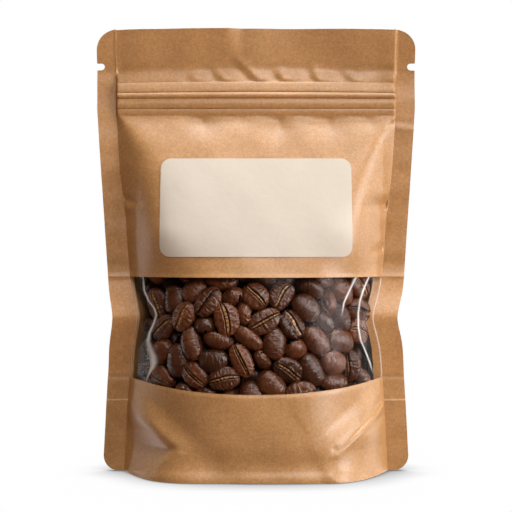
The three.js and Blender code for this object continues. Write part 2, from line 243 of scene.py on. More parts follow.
def centre_depth(z):
    """Half depth at the middle of the pouch."""
    up = part_way(z, BELLY_HEIGHT, ZIP_BOTTOM)
    down = part_way(z, BELLY_HEIGHT, 0.0)
    foot = ZIP_HALF + ZIP_BANDS[0][2] - 0.5 * ZIP_FOOT_ROUND
    rise = (BELLY_DEPTH - foot) * (1.0 - up**BELLY_TAPER)
    eased = 0.5 * (rise + np.hypot(rise, ZIP_FOOT_ROUND))
    body = foot + eased - (BELLY_DEPTH - BASE_DEPTH) * down * down
    hollow = HEM_HOLLOW * bell((z - HEM_HOLLOW_HEIGHT) / HEM_HOLLOW_SPAN)
    body = body - hollow * smooth(z, 0.0, HEM_HOLLOW_FOOT)
    return np.where(z >= ZIP_BOTTOM, header_depth(z), body)


def across_body(x, z):
    return np.minimum(np.abs(x) / body_half(z, np.sign(x)), 1.0)


def to_seal(x, z):
    """Distance to the inner edge of the seal on the same side, negative on the seal."""
    return body_half(z, np.sign(x)) - np.abs(x)


def squareness(x, z):
    """Power of the curve across the lower body: high where it is flat with tight ends."""
    corner = CORNER_FOOT[1] + CORNER_SLOPE * (np.abs(x) - CORNER_FOOT[0])
    above = smooth(z, corner - CORNER_BLEND, corner + CORNER_BLEND)
    return lerp(BASE_SQUARENESS, BELLY_SQUARENESS, above)


def facet_share(x, z):
    """Share of the full depth where a flat front meets side facets in a soft crease."""
    down = part_way(z, ZIP_BOTTOM, FACET_START[0])
    width = ZIP_END + FACET_WIDTH * (1.0 - (1.0 - down) ** FACET_SPREAD)
    inwards = np.maximum(to_seal(x, z), 0.0) / width
    return inwards / (1.0 + inwards**FACET_CREASE) ** (1.0 / FACET_CREASE)


def ridge_cut(x, z, rounded):
    """The rounded curve, cut back to a flat facet outside the ridge of each bottom corner."""
    half = body_half(z, np.sign(x))
    inner = np.maximum(rounded, 1e-4)
    for side, halves, share, fade in zip(SIDES.values(), RIDGE_HALVES, RIDGE_CUTS, RIDGE_FADES):
        ridge = np.interp(z, RIDGE_HEIGHTS, halves)
        at_ridge = 1.0 - (ridge / half) ** squareness(ridge, z)
        chord = np.maximum(at_ridge * (half - np.abs(x)) / (half - ridge), 1e-4)
        cut = chord * inner / (chord**RIDGE_CREASE + inner**RIDGE_CREASE) ** (1.0 / RIDGE_CREASE)
        here = share * smooth(z, *RIDGE_FOOT) * falling(z, *fade) * (x * side > 0.0)
        rounded = lerp(rounded, cut, here)
    return rounded


def panel_depth(x, z):
    """Half depth from the middle plane to a panel."""
    rounded = ridge_cut(x, z, 1.0 - across_body(x, z) ** squareness(x, z))
    share = lerp(rounded, facet_share(x, z), smooth(z, *FACET_START))
    return SEAL_HALF + (centre_depth(z) - SEAL_HALF) * share


def middle_shift(x, z):
    """Shift of both panels: the zip set back, the lean of the shut top, the buckle of the seals."""
    upright = smooth(x, *UPRIGHT_PART[:2]) * falling(x, *UPRIGHT_PART[2:])
    up = part_way(z, LEAN_START, HEIGHT)
    lean = TOP_LEAN * up * (1.0 - UPRIGHT * upright)
    outwards = np.clip(-to_seal(x, z) / SEAL_TOP, 0.0, 1.0)
    curl = SEAL_CURL * outwards * smooth(z, *CURL_RANGE)
    shift = ZIP_SET_BACK * smooth(z, *SET_BACK) - lean - curl
    return shift + seal_shift(z) * across_body(x, z) ** KINK_SPREAD


def arched(x, z):
    """Heights with the slight arch of the zip and the top edge."""
    return z + (TOP_LIFT - TOP_ARCH * (x / TOP_EDGE) ** 2) * smooth(z, *ARCH_RANGE)


def window_bottom(share):
    """Height of the window's lower edge at a share of the way to the seal."""
    return WINDOW_SIDE - WINDOW_SAG * (1.0 - np.minimum(np.abs(share), 1.0) ** 2)


# Folds and dents, as heights above the base form


def along_segment(x, z, start, end):
    """Share along a segment, and the signed distance from it (positive to its left)."""
    way = np.subtract(end, start)
    length = math.hypot(*way)
    unit = way / length
    off_x = x - start[0]
    off_z = z - start[1]
    share = (off_x * unit[0] + off_z * unit[1]) / length
    side = off_z * unit[0] - off_x * unit[1]
    over = (share - np.clip(share, 0.0, 1.0)) * length
    return np.clip(share, 0.0, 1.0), np.hypot(side, over) * np.sign(side)


def fold(x, z, start, end, height, width, fade=1.0, right=None):
    """A soft ridge, or a valley if its height is negative, that fades from its start to its end."""
    share, distance = along_segment(x, z, start, end)
    reach = np.where(distance > 0.0, width, right or width)
    return height * (1.0 - fade * share) * bell(distance / reach)


def folds(x, z, rows, start=0.0):
    """What a table of folds adds to a start."""
    return sum((fold(x, z, *row) for row in rows), start)


# A pleat's step, the hollow before it, and its width and height at its start as shares of those at its end
PLEAT_STEP = (-0.4, 0.6)
PLEAT_HOLLOW = 0.35
PLEAT_HOLLOW_SPAN = 1.2
PLEAT_START_WIDTH = 0.35
PLEAT_START_HEIGHT = 0.3


def pleat(x, z, start, end, height, width):
    """A lap: low on the left of the line, and on its right a lip that falls away over the width."""
    share, distance = along_segment(x, z, start, end)
    fall = width * lerp(PLEAT_START_WIDTH, 1.0, share)
    lip = smooth(-distance, *PLEAT_STEP) * bell(np.minimum(distance, 0.0) / fall)
    hollow = PLEAT_HOLLOW * bell((distance - PLEAT_HOLLOW_SPAN) / PLEAT_HOLLOW_SPAN)
    return height * (lip - hollow) * lerp(PLEAT_START_HEIGHT, 1.0, share)


# Gathers above the zip: foot, how far the top lies to the left, height, depth
GATHERS = (
    (-23.7, 1.0, 2.0, 0.35),
    (-13.6, 2.6, 3.4, 0.7),
    (-1.6, 7.0, 7.0, 0.8),
    (7.3, 2.0, 3.2, 0.75),
    (19.1, 1.6, 4.2, 0.65),
    (31.7, 3.2, 3.0, 0.55),
)
GATHER_WIDTH = 1.8
GATHER_FADE = 0.75

# The ridge beside each gather: distance, share of the gather's depth, width, fade
GATHER_RIDGE = (2.8, 0.65, 1.6, 0.4)

# Dents that hang below the zip: middle, drop, half width, depth
SCALLOPS = (
    (-18.5, 2.6, 6.0, 0.75),
    (-5.0, 2.0, 6.0, 0.35),
    (8.0, 3.0, 4.6, 0.85),
    (25.0, 3.0, 7.5, 0.9),
    (39.0, 2.4, 5.0, 0.5),
)

# The crease in each dent: share of the dent's depth, width, fade
SCALLOP_CREASE = (0.4, 1.3, 0.7)
ZIP_FADE = 0.8

# Creases at the inner edges of the seals: start, end, height, width
SEAL_CREASES = (
    ((-46.0, 93.8), (-36.0, 92.2), -1.0, 1.5),
    ((-45.6, 91.2), (-37.0, 89.6), 0.6, 1.6),
    ((46.4, 92.2), (35.0, 90.4), -1.3, 1.8),
    ((46.6, 95.4), (37.0, 96.6), 0.7, 2.2),
    ((45.2, 77.4), (37.5, 74.2), -0.9, 1.4),
    ((45.4, 80.0), (38.0, 80.4), 0.5, 1.8),
    ((48.0, 121.6), (44.2, 118.4), 0.8, 0.7),
    ((46.8, 120.2), (43.6, 116.8), -0.7, 0.8),
)

# Dents across the right seal: start, end, height, width, fade
SEAL_DENTS = (
    ((49.0, 118.4), (55.0, 117.6), 0.22, 1.0, 0.4),
    ((49.0, 120.6), (55.0, 120.0), -0.16, 1.1, 0.4),
)
RIM_HEIGHT = 0.2
RIM_WIDTH = 0.24
RIM_START = (ZIP_TOP + 1.0, ZIP_TOP + 3.0)
PLY_STEP = 0.2

# Folds of the bottom corners: start, end, height, width, and for some a fade and another width on the right
CORNER_PLEAT = ((26.8, 9.6), (44.6, 24.6), 1.3, 4.6)
CORNER_CREASES = (
    ((45.0, 20.8), (34.0, 12.8), -0.8, 1.0, 0.8),
    ((26.6, 0.0), (18.0, 14.0), 1.1, 2.8, 0.8, 9.0),
    ((25.8, 10.8), (28.2, 9.6), -0.3, 0.9),
    ((-27.2, 10.8), (-38.0, 19.6), -0.3, 0.9, 0.6),
    ((-26.8, 10.2), (-23.0, 8.4), 0.4, 0.7),
    ((-27.4, 11.0), (-26.0, 9.0), -0.4, 0.8),
    ((-44.0, 24.0), (-41.0, 20.8), 0.5, 0.9),
)
CORNER_START = (-4.0, 1.0)

# Folds of the shut header, which both panels follow: start, end, height, width, and for one a fade
HEADER_FOLDS = (
    ((48.8, 138.0), (47.0, 152.0), 1.5, 5.0, 0.4),
    ((48.4, 138.2), (37.0, 139.0), -0.6, 1.3),
    ((-48.4, 138.2), (-37.0, 139.0), -0.6, 1.3),
)
HEADER_RIPPLE_START = 7.0

# Shares of the way to the seal where waves, gathers and creases run out
SWELL_FADE = (0.85, 1.0)
GATHER_END = (0.9, 1.0)
CREASE_END = (0.985, 1.0)
SWELL_TOP = (ZIP_BOTTOM - 6.0, ZIP_BOTTOM)
SEAL_WAVE_SPREAD = 6
BACK_WAVE_SHIFT = 20.0


def zip_gathers(x, z):
    """Small slanted gathers above the zip, and scalloped dents below it."""
    above = np.zeros_like(x)
    for foot, left, height, depth in GATHERS:
        top = (foot - left, ZIP_TOP + height)
        above -= fold(x, z, (foot, ZIP_TOP), top, depth, GATHER_WIDTH, GATHER_FADE)
        off, part, width, fade = GATHER_RIDGE
        above += fold(x, z, (foot + off, ZIP_TOP), (top[0] + off, top[1]), part * depth, width, fade)
    below = np.zeros_like(x)
    for middle, drop, width, depth in SCALLOPS:
        under = np.maximum(ZIP_BOTTOM - z, 0.0) / drop
        below -= depth * bell((x - middle) / width) * under * np.exp(1.0 - under)
        point = (middle + 1.0, ZIP_BOTTOM - drop - 2.0)
        part, across, fade = SCALLOP_CREASE
        below -= fold(x, z, (middle - 0.6, ZIP_BOTTOM - 0.5), point, part * depth, across, fade)
    above = above * smooth(z, ZIP_TOP, ZIP_TOP + ZIP_FADE)
    return above + below * falling(z, ZIP_BOTTOM - ZIP_FADE, ZIP_BOTTOM)


def weld_marks(x, z):
    """On the seals: a thin rim beside the header, dents across the right one, and the gusset's top edge."""
    rim = RIM_HEIGHT * bell(to_seal(x, z) / RIM_WIDTH) * smooth(z, *RIM_START)
    dents = folds(x, z, SEAL_DENTS)
    ply = GUSSET_PLY * falling(z, GUSSET_HEIGHT - PLY_STEP, GUSSET_HEIGHT + PLY_STEP)
    return rim + (dents + ply) * smooth(across_body(x, z), *CREASE_END)


def corner_creases(x, z):
    """The folds along the curved gusset welds in the two bottom corners."""
    lift = folds(x, z, CORNER_CREASES, pleat(x, z, *CORNER_PLEAT))
    return lift * smooth(z, *CORNER_START)


def soft_waves(x, z):
    """Slow unevenness of a filled paper panel."""
    waves = 0.20 * np.sin(0.11 * x + 0.5) * np.sin(0.09 * z + 1.3)
    waves += 0.13 * np.sin(0.21 * x - 0.13 * z + 0.4)
    waves += 0.08 * np.sin(0.33 * x + 0.27 * z + 2.1)
    return waves


def header_shift(x, z):
    """Upright ripples and folds of the shut header, which both panels follow."""
    across = across_body(x, z)
    ripple = 0.26 * np.sin(0.16 * x + 0.05 * (z - ZIP_TOP) + 0.9) + 0.17 * np.sin(0.31 * x + 2.2)
    above = smooth(z, ZIP_TOP, ZIP_TOP + HEADER_RIPPLE_START)
    ripple = ripple * above * falling(across, *GATHER_END)
    return -ripple - folds(x, z, HEADER_FOLDS) * falling(across, *CREASE_END)


def edge_curls(x, z):
    """The upper paper's lower edge stands out a little, and the lower paper's upper edge turns in."""
    bottom = window_bottom(across_body(x, z))
    return EDGE_CURL * (bell((z - WINDOW_TOP) / EDGE_CURL_SPAN) - bell((z - bottom) / EDGE_CURL_SPAN))


def front_swell(x, z):
    """Slow waves that the front paper and the film share."""
    on_body = falling(across_body(x, z), *SWELL_FADE)
    return soft_waves(x, z) * on_body * falling(z, *SWELL_TOP)


def front_detail(x, z):
    """All that stands above the front's base form."""
    across = across_body(x, z)
    lift = front_swell(x, z) + zip_gathers(x, z) * falling(across, *GATHER_END)
    creases = folds(x, z, SEAL_CREASES) + corner_creases(x, z)
    lift = lift + creases * falling(across, *CREASE_END)
    return lift + weld_marks(x, z) + edge_curls(x, z)


def seal_wave(x, z):
    """Both panels follow the same slow wave along the seals."""
    side = np.sign(x)
    wave = 0.14 * np.sin(0.23 * z + side) + 0.07 * np.sin(0.61 * z + 2.0 * side)
    return wave * across_body(x, z) ** SEAL_WAVE_SPREAD


def middle_y(x, z):
    return middle_shift(x, z) + header_shift(x, z) + seal_wave(x, z)


def front_y(x, z):
    return middle_y(x, z) - panel_depth(x, z) - front_detail(x, z)


def back_y(x, z):
    across = across_body(x, z)
    on_body = falling(across, *GATHER_END)
    lift = soft_waves(-x, z + BACK_WAVE_SHIFT) * on_body * falling(z, *SWELL_TOP)
    lift = lift + zip_gathers(-x, z) * on_body
    lift = lift + corner_creases(-x, z) * falling(across, *CREASE_END) + weld_marks(-x, z)
    return middle_y(x, z) + panel_depth(x, z) + lift


# Grids and meshes

COLUMN_CROWDING = 0.75
ROW_GAP = 0.015
STEP_GAP = 0.03


def panel_columns(body_count, seal_count):
    """Column shares: -1 to 1 across the body, and one more on each side for the seals."""
    turn = np.linspace(-1.0, 1.0, body_count + 1)
    body = lerp(turn, np.sin(turn * math.pi / 2), COLUMN_CROWDING)
    seal = np.linspace(0.0, 1.0, seal_count + 1)[1:]
    return np.concatenate([-1.0 - seal[::-1], body, 1.0 + seal])


def column_x(share, z):
    """Where a column lies at a height."""
    side = np.sign(share)
    edge = trimmed_edge(z, side)
    inner = np.minimum(body_half(z, side), edge - SEAL_LEAST)
    out = np.clip(np.abs(share) - 1.0, 0.0, 1.0)
    return side * lerp(inner * np.minimum(np.abs(share), 1.0), edge, out)


def row_heights(step):
    """Row heights that also follow the rounded corners, the notches and the zip's edges."""
    quarter = np.linspace(0.0, math.pi / 2, 10)
    half_turn = np.linspace(-math.pi / 2, math.pi / 2, 15)
    rows = [
        np.arange(0.0, HEIGHT, step),
        HEIGHT - TOP_CORNER * (1.0 - np.sin(quarter)),
        BASE_CORNER * (1.0 - np.sin(quarter)),
        NOTCH_HEIGHT + NOTCH_HALF * np.sin(half_turn),
        NOTCH_HEIGHT + np.array([-1.0, 1.0]) * (NOTCH_HALF + STEP_GAP),
    ]
    rows += [np.append(np.linspace(low, high, 9), high - STEP_GAP) for low, high, *_ in ZIP_BANDS]
    rows = np.unique(np.concatenate(rows).round(4))
    return rows[np.concatenate([[True], np.diff(rows) > ROW_GAP])]


def panel_grid(rows, columns):
    """Where the rows and columns of a panel cross: places across and heights."""
    z = np.repeat(rows[:, None], len(columns), axis=1)
    return column_x(columns[None, :], z), z


def grid_points(x, y, z):
    return np.stack(np.broadcast_arrays(x, y, z), axis=-1).astype(float)


def grid_normals(points):
    """Unit normals of a grid of points, to the side of rows cross columns."""
    along = np.gradient(points, axis=1)
    up = np.gradient(points, axis=0)
    normal = np.cross(along, up)
    return normal / np.maximum(np.linalg.norm(normal, axis=-1, keepdims=True), 1e-12)


def grid_faces(rows, columns, first=0):
    """Quads of a grid, by vertex numbers."""
    index = np.arange(rows * columns).reshape(rows, columns) + first
    corners = [index[:-1, :-1], index[:-1, 1:], index[1:, 1:], index[1:, :-1]]
    return np.stack(corners, axis=-1).reshape(-1, 4)


def border_loop(rows, columns):
    """Vertex numbers round a grid's border, anticlockwise."""
    index = np.arange(rows * columns).reshape(rows, columns)
    parts = [index[0, :-1], index[:-1, -1], index[-1, :0:-1], index[:0:-1, 0]]
    return np.concatenate(parts)


def new_object(name, data):
    made = bpy.data.objects.new(name, data)
    bpy.context.collection.objects.link(made)
    return made


def mesh_object(name, points, faces, material, smooth_angle=40.0):
    """A mesh piece from points in millimetres."""
    mesh = bpy.data.meshes.new(name)
    mesh.from_pydata((np.asarray(points) * MM).tolist(), [], np.asarray(faces).tolist())
    mesh.materials.append(material)
    mesh.shade_smooth()
    mesh.set_sharp_from_angle(angle=math.radians(smooth_angle))
    return new_object(name, mesh)


def sheet_object(name, x, y, z, thickness, material):
    """A closed thin sheet: the grid is its outer face, and its inner face lies behind it."""
    points = grid_points(x, y, z)
    rows, columns, _ = points.shape
    inner = points - grid_normals(points) * thickness
    count = rows * columns
    outer_faces = grid_faces(rows, columns)
    inner_faces = grid_faces(rows, columns, count)[:, ::-1]
    loop = border_loop(rows, columns)
    ahead = np.roll(loop, -1)
    rim = np.stack([loop + count, ahead + count, ahead, loop], axis=-1)
    stacked = np.concatenate([points.reshape(-1, 3), inner.reshape(-1, 3)])
    return mesh_object(name, stacked, np.concatenate([outer_faces, inner_faces, rim]), material)


def add_attribute(mesh, name, values):
    values = np.asarray(values, np.float32)
    kind, field = ("FLOAT_VECTOR", "vector") if values.ndim == 2 else ("FLOAT", "value")
    mesh.attributes.new(name, kind, "POINT").data.foreach_set(field, values.reshape(-1))


# Materials


class Nodes:
    """The node tree of a material or world, with short ways to add and link its nodes."""

    def __init__(self, owner, output="ShaderNodeOutputMaterial"):
        self.owner = owner
        self.owner.use_nodes = True
        self.tree = self.owner.node_tree
        self.tree.nodes.clear()
        self.output = self.add(output)

    def add(self, kind, inputs=None, **settings):
        node = self.tree.nodes.new(kind)
        for key, value in settings.items():
            setattr(node, key, value)
        for key, value in (inputs or {}).items():
            if isinstance(value, bpy.types.NodeSocket):
                self.tree.links.new(value, node.inputs[key])
            else:
                node.inputs[key].default_value = value
        return node

    def attribute(self, name, output="Fac"):
        return self.add("ShaderNodeAttribute", attribute_name=name).outputs[output]

    def noise(self, size, detail, roughness, upright=1.0):
        """Noise fixed to the object, with its own scale in the upright direction."""
        place = self.add("ShaderNodeTexCoord").outputs["Object"]
        mapping = self.add("ShaderNodeMapping", {"Vector": place, "Scale": (1.0, 1.0, upright)})
        return self.noise_at(mapping.outputs["Vector"], size, detail, roughness)

    def noise_at(self, place, size, detail, roughness=0.5):
        inputs = {"Vector": place, "Scale": size, "Detail": detail, "Roughness": roughness}
        return self.add("ShaderNodeTexNoise", inputs).outputs["Fac"]

    def ramp(self, factor, *stops):
        """A colour ramp between two stops, each a position and a colour."""
        ramp = self.add("ShaderNodeValToRGB", {"Fac": factor})
        for element, (position, colour) in zip(ramp.color_ramp.elements, stops):
            element.position = position
            element.color = colour
        return ramp.outputs["Color"]

    def shade(self, base, factor, darker, lighter):
        """A colour multiplied by a ramp of greys."""
        greys = self.ramp(factor, (darker[0], grey(darker[1])), (lighter[0], grey(lighter[1])))
        return self.mix(1.0, base, greys, "MULTIPLY")

    def mix(self, factor, first, second, blend="MIX"):
        inputs = {0: factor, 6: first, 7: second}
        node = self.add("ShaderNodeMix", inputs, data_type="RGBA", blend_type=blend)
        return node.outputs[2]

    def math(self, operation, first, second):
        return self.add("ShaderNodeMath", {0: first, 1: second}, operation=operation).outputs[0]

    def remap(self, value, low, high, to_low, to_high):
        inputs = {"Value": value, "From Min": low, "From Max": high, "To Min": to_low, "To Max": to_high}
        return self.add("ShaderNodeMapRange", inputs).outputs["Result"]

    def bump(self, height, distance, strength, normal=None):
        inputs = {"Height": height, "Distance": distance, "Strength": strength}
        if normal is not None:
            inputs["Normal"] = normal
        return self.add("ShaderNodeBump", inputs).outputs["Normal"]

    def finish_principled(self, base, rough, relief, specular):
        inputs = {"Base Color": base, "Roughness": rough, "Normal": relief, "Specular IOR Level": specular}
        return self.finish(self.add("ShaderNodeBsdfPrincipled", inputs))

    def finish(self, shader):
        self.tree.links.new(shader.outputs[0], self.output.inputs["Surface"])
        return self.owner


def material_nodes(name):
    return Nodes(bpy.data.materials.new(name))


def grey(value):
    return (value, value, value, 1.0)


KRAFT = ((0.469, 0.235, 0.084, 1.0), (0.532, 0.272, 0.101, 1.0))
# A lighter copy of the kraft for the strips beside the window: painted light that makes them brighter than
# the plain kraft
BRIGHTENED_KRAFT = ((0.566, 0.278, 0.100, 1.0), (0.642, 0.323, 0.120, 1.0))
KRAFT_FLECK = (0.12, 0.05, 0.018, 1.0)
LABEL_CREAM = ((0.605, 0.532, 0.446, 1.0), (0.635, 0.562, 0.474, 1.0))
CLEAR_FILM = (0.97, 0.97, 0.965, 1.0)
# White of the film: a painted highlight along its creases, and its cloudy line beside the seals
FILM_CLOUD_AND_HIGHLIGHT = (0.86, 0.85, 0.83, 1.0)
ROASTS = ((0.058, 0.0165, 0.0055, 1.0), (0.155, 0.044, 0.013, 1.0))
# Near-black painted shade for the bean grooves, the deeper beans and the heap's core
PAINTED_SHADE_COLOUR = (0.012, 0.005, 0.003, 1.0)
CHAFF_GOLD = (0.50, 0.25, 0.085, 1.0)


def kraft_material(name, dark, light):
    """Brown kraft paper: mottled pulp, fine fibres, a few faint flecks and a satin face."""
    nodes = material_nodes(name)
    mottle = nodes.noise(130.0, 4.0, 0.6)
    fibres = nodes.noise(2400.0, 3.0, 0.6, upright=0.8)
    pulp = nodes.noise(900.0, 4.0, 0.65)
    flecks = nodes.noise(1100.0, 1.0, 0.4, upright=0.5)
    base = nodes.ramp(mottle, (0.3, dark), (0.7, light))
    base = nodes.shade(base, pulp, (0.3, 0.85), (0.7, 1.13))
    base = nodes.shade(base, fibres, (0.34, 0.86), (0.66, 1.12))
    base = nodes.mix(nodes.remap(flecks, 0.80, 0.86, 0.0, 0.4), base, KRAFT_FLECK)
    rough = nodes.remap(pulp, 0.3, 0.7, 0.36, 0.46)
    relief = nodes.bump(pulp, 0.00006, 0.7)
    relief = nodes.bump(fibres, 0.00003, 0.7, relief)
    return nodes.finish_principled(base, rough, relief, 0.8)


def label_material():
    """Uncoated cream sticker paper with a faint felt mark."""
    nodes = material_nodes("label")
    cloud = nodes.noise(90.0, 4.0, 0.6)
    felt = nodes.noise(420.0, 4.0, 0.6)
    base = nodes.ramp(cloud, (0.3, LABEL_CREAM[0]), (0.7, LABEL_CREAM[1]))
    relief = nodes.bump(felt, 0.00012, 0.6)
    return nodes.finish_principled(base, 0.68, relief, 0.3)


def film_material():
    """Clear glossy film: see-through, with the gloss of a thin plastic skin, a white painted highlight
    along its creases and a cloudy line beside the seals.
    """
    nodes = material_nodes("film")
    clear = nodes.add("ShaderNodeBsdfTransparent", {"Color": CLEAR_FILM})
    gloss = nodes.add("ShaderNodeBsdfGlossy", {"Color": grey(1.0), "Roughness": 0.18})
    facing = nodes.add("ShaderNodeLayerWeight", {"Blend": 0.5}).outputs["Facing"]
    shine = nodes.remap(nodes.math("POWER", facing, 4.0), 0.0, 1.0, 0.006, 0.3)
    skin = nodes.add("ShaderNodeMixShader", {0: shine, 1: clear.outputs[0], 2: gloss.outputs[0]})
    # White diffuse: a painted highlight along the creases, and the cloudy line beside the seals
    cloudy = nodes.add("ShaderNodeBsdfDiffuse", {"Color": FILM_CLOUD_AND_HIGHLIGHT})
    inputs = {0: nodes.attribute("milk_and_painted_highlight"), 1: skin.outputs[0], 2: cloudy.outputs[0]}
    return nodes.finish(nodes.add("ShaderNodeMixShader", inputs))


def bean_material():
    """Roasted beans: crinkled skins of varied roast with an oily sheen, pale chaff in most clefts, and
    painted shade in the grooves, on deep beans and on the core.
    """
    nodes = material_nodes("roasted_bean")
    skin = nodes.attribute("skin", "Vector")
    wrinkles = nodes.noise_at(skin, 1.0, 3.0)
    crumbs = nodes.noise_at(skin, 1.1, 1.0)
    patches = nodes.noise(380.0, 3.0, 0.55)
    pores = nodes.noise(2200.0, 3.0, 0.55)
    base = nodes.ramp(nodes.attribute("tone"), (0.0, ROASTS[0]), (1.0, ROASTS[1]))
    base = nodes.shade(base, patches, (0.3, 0.72), (0.7, 1.25))
    # Painted shade: the grooves, the deeper beans and the core are darkened towards near-black
    base = nodes.mix(nodes.attribute("cleft"), base, PAINTED_SHADE_COLOUR)
    broken = nodes.remap(crumbs, 0.42, 0.58, 0.1, 1.0)
    base = nodes.mix(nodes.math("MULTIPLY", nodes.attribute("chaff"), broken), base, CHAFF_GOLD)
    rough = nodes.remap(patches, 0.3, 0.7, 0.26, 0.38)
    relief = nodes.bump(wrinkles, 0.0007, 0.7)
    relief = nodes.bump(pores, 0.00008, 0.5, relief)
    return nodes.finish_principled(base, rough, relief, 0.6)


# Paper panels

# Distances of the rows beside the window's edges, and the least gap to the next row
EDGE_ROWS = np.array([0.0, 0.2, 0.4, 0.65, 0.95, 1.3, 1.8])
EDGE_GAP = 0.2

# Welded end of the gusset: reach as a column share, gap below its top edge, and how far it sinks in
GUSSET_END = 1.97
GUSSET_END_GAP = 0.3
GUSSET_SINK = 0.03

# Opened gusset: width share, heights of its side and hem, then its level, rise, lip, fold and wave
GUSSET_WIDTH = 0.992
GUSSET_SIDE_HEIGHT = 0.5
GUSSET_HEM_HEIGHT = 0.6
GUSSET_LEVEL = 0.25
GUSSET_RISE = 0.09
GUSSET_MOST_RISE = 3.0
GUSSET_SLOPE = (0.5, 0.93)
GUSSET_LIP = (0.94, 1.0)
GUSSET_LIP_DROP = 0.75
GUSSET_FOLD = 0.5
GUSSET_FOLD_SHARE = 0.02
GUSSET_WAVE = 0.12
GUSSET_PAPER = 0.25


def front_upper(material):
    """The front paper above the window, with the zip, the notches and the side seals."""
    rows = row_heights(step=0.62)
    rows = np.concatenate([WINDOW_TOP + EDGE_ROWS, rows[rows > WINDOW_TOP + EDGE_ROWS[-1] + EDGE_GAP]])
    x, z = panel_grid(rows, panel_columns(body_count=170, seal_count=12))
    return sheet_object("pouch_front_upper", x, front_y(x, z), arched(x, z), PAPER, material)


def front_lower(material):
    """The front paper below the window, down to the hem."""
    rows = row_heights(step=0.5)
    rows = np.concatenate([rows[rows < WINDOW_SIDE - EDGE_ROWS[-1] - EDGE_GAP], WINDOW_SIDE - EDGE_ROWS])
    rows = np.concatenate([rows, GUSSET_HEIGHT + np.linspace(-PLY_STEP, PLY_STEP, 5)])
    share = np.unique(rows.round(3)) / WINDOW_SIDE
    columns = panel_columns(body_count=190, seal_count=12)
    z = share[:, None] * window_bottom(columns)[None, :]
    x = column_x(columns[None, :], z)
    return sheet_object("pouch_front_lower", x, front_y(x, z), z, PAPER, material)


def weld_strip(name, material):
    """The seal beside the window, under the film's weld, and the paper's border inside it."""
    border = np.linspace(1.0 - WELD_BORDER[name], 1.0, 8)
    columns = np.sort(SIDES[name] * np.concatenate([border, np.linspace(1.0, 2.0, 10)[1:]]))
    x, z = panel_grid(np.linspace(WINDOW_SIDE - WELD_LAP, WINDOW_TOP + WELD_LAP, 70), columns)
    seal_x = column_x(np.maximum(np.abs(columns), 1.0) * SIDES[name], z)
    return sheet_object(f"pouch_weld_{name}", x, front_y(seal_x, z) + PAPER, z, WELD, material)


def gusset_weld(name, material):
    """The folded end of the gusset, sealed between the two panels in the foot of a seal."""
    columns = np.sort(SIDES[name] * np.linspace(1.0, GUSSET_END, 8))
    rows = row_heights(step=0.9)
    x, z = panel_grid(rows[rows < GUSSET_HEIGHT - GUSSET_END_GAP], columns)
    y = front_y(x, z) + PAPER - GUSSET_SINK
    thickness = 2.0 * (SEAL_HALF + GUSSET_PLY - PAPER + GUSSET_SINK)
    return sheet_object(f"pouch_gusset_{name}", x, y, z, thickness, material)


def back_panel(material):
    """The plain back of the pouch."""
    x, z = panel_grid(row_heights(step=0.95), panel_columns(body_count=120, seal_count=10)[::-1])
    return sheet_object("pouch_back", x, back_y(x, z), arched(x, z), PAPER, material)


def gusset(material):
    """The opened bottom gusset: up from the hem, then down to the floor, with a fold along its middle."""
    columns = panel_columns(body_count=120, seal_count=1)[None, 1:-1] * GUSSET_WIDTH
    share = np.linspace(-1.0, 1.0, 81)[:, None]
    x = column_x(columns, np.full_like(columns, GUSSET_SIDE_HEIGHT))
    hem = np.full_like(x, GUSSET_HEM_HEIGHT)
    front = front_y(x, hem) + PAPER
    back = back_y(x, hem) - PAPER
    y = lerp(front, back, (share + 1.0) / 2.0)
    room = np.minimum((back - front) * GUSSET_RISE, GUSSET_MOST_RISE)
    thin = np.minimum(room, 1.0)
    away = np.abs(share)
    rise = smooth(away, *GUSSET_SLOPE) * (1.0 - GUSSET_LIP_DROP * smooth(away, *GUSSET_LIP))
    crease = GUSSET_FOLD * bell(share / GUSSET_FOLD_SHARE) * thin
    wave = GUSSET_WAVE * np.sin(0.25 * x) * (1.0 - share**2) * thin
    z = GUSSET_LEVEL + room * rise + crease + wave
    return sheet_object("pouch_gusset", x, y[::-1], z[::-1], -GUSSET_PAPER, material)


# Window film

# Creases near the film's ends: points of height, distance from the middle and half width
FILM_CREASES = (
    (
        (30.0, -37.8, 0.30), (31.6, -37.2, 0.34), (33.8, -36.4, 0.42), (36.5, -34.9, 0.85),
        (38.2, -34.4, 1.20), (40.4, -34.7, 1.35), (42.6, -35.7, 1.10), (45.3, -36.5, 0.75),
        (48.0, -36.0, 0.44), (51.9, -34.2, 0.40), (54.3, -33.5, 0.38), (56.3, -34.2, 0.36),
        (59.0, -36.4, 0.34), (62.3, -38.0, 0.34), (68.0, -38.5, 0.34),
    ),
    (
        (34.0, 40.0, 0.28), (38.1, 38.6, 0.28), (41.9, 37.0, 0.28), (45.7, 35.3, 0.28), (50.1, 34.5, 0.30),
        (55.0, 34.5, 0.32), (58.8, 35.1, 0.34), (62.7, 36.4, 0.34), (68.0, 38.9, 0.34),
    ),
    ((54.0, 28.6, 0.22), (58.4, 29.3, 0.28), (62.3, 31.2, 0.36), (68.0, 34.2, 0.45)),
)
CREASE_HEIGHT = 0.3
CREASE_START = (-1.0, 4.0)
CREASE_FADE = (-0.3, 1.0)
# Strength of the white painted highlight along the film's creases
CREASE_PAINTED_HIGHLIGHT = 0.9

# The film's cloudy line beside the seals: strength, distance and half width
SEAL_MILK = (0.45, 0.3, 0.3)
FILM_TUCK = 1.5
FILM_LAP = 2.5


def crease_lines(x, z):
    """Strength of the film's creases: about one along them, falling to nought beside them."""
    lines = np.zeros_like(x)
    for points in FILM_CREASES:
        heights, middles, widths = np.transpose(points)
        away = (x - np.interp(z, heights, middles)) / np.interp(z, heights, widths)
        strength = 0.88 + 0.12 * np.sin(0.55 * z + 2.0 * middles[0])
        begun = smooth(z, heights[0] + CREASE_START[0], heights[0] + CREASE_START[1])
        lines = np.maximum(lines, strength * bell(away) * begun)
    return lines


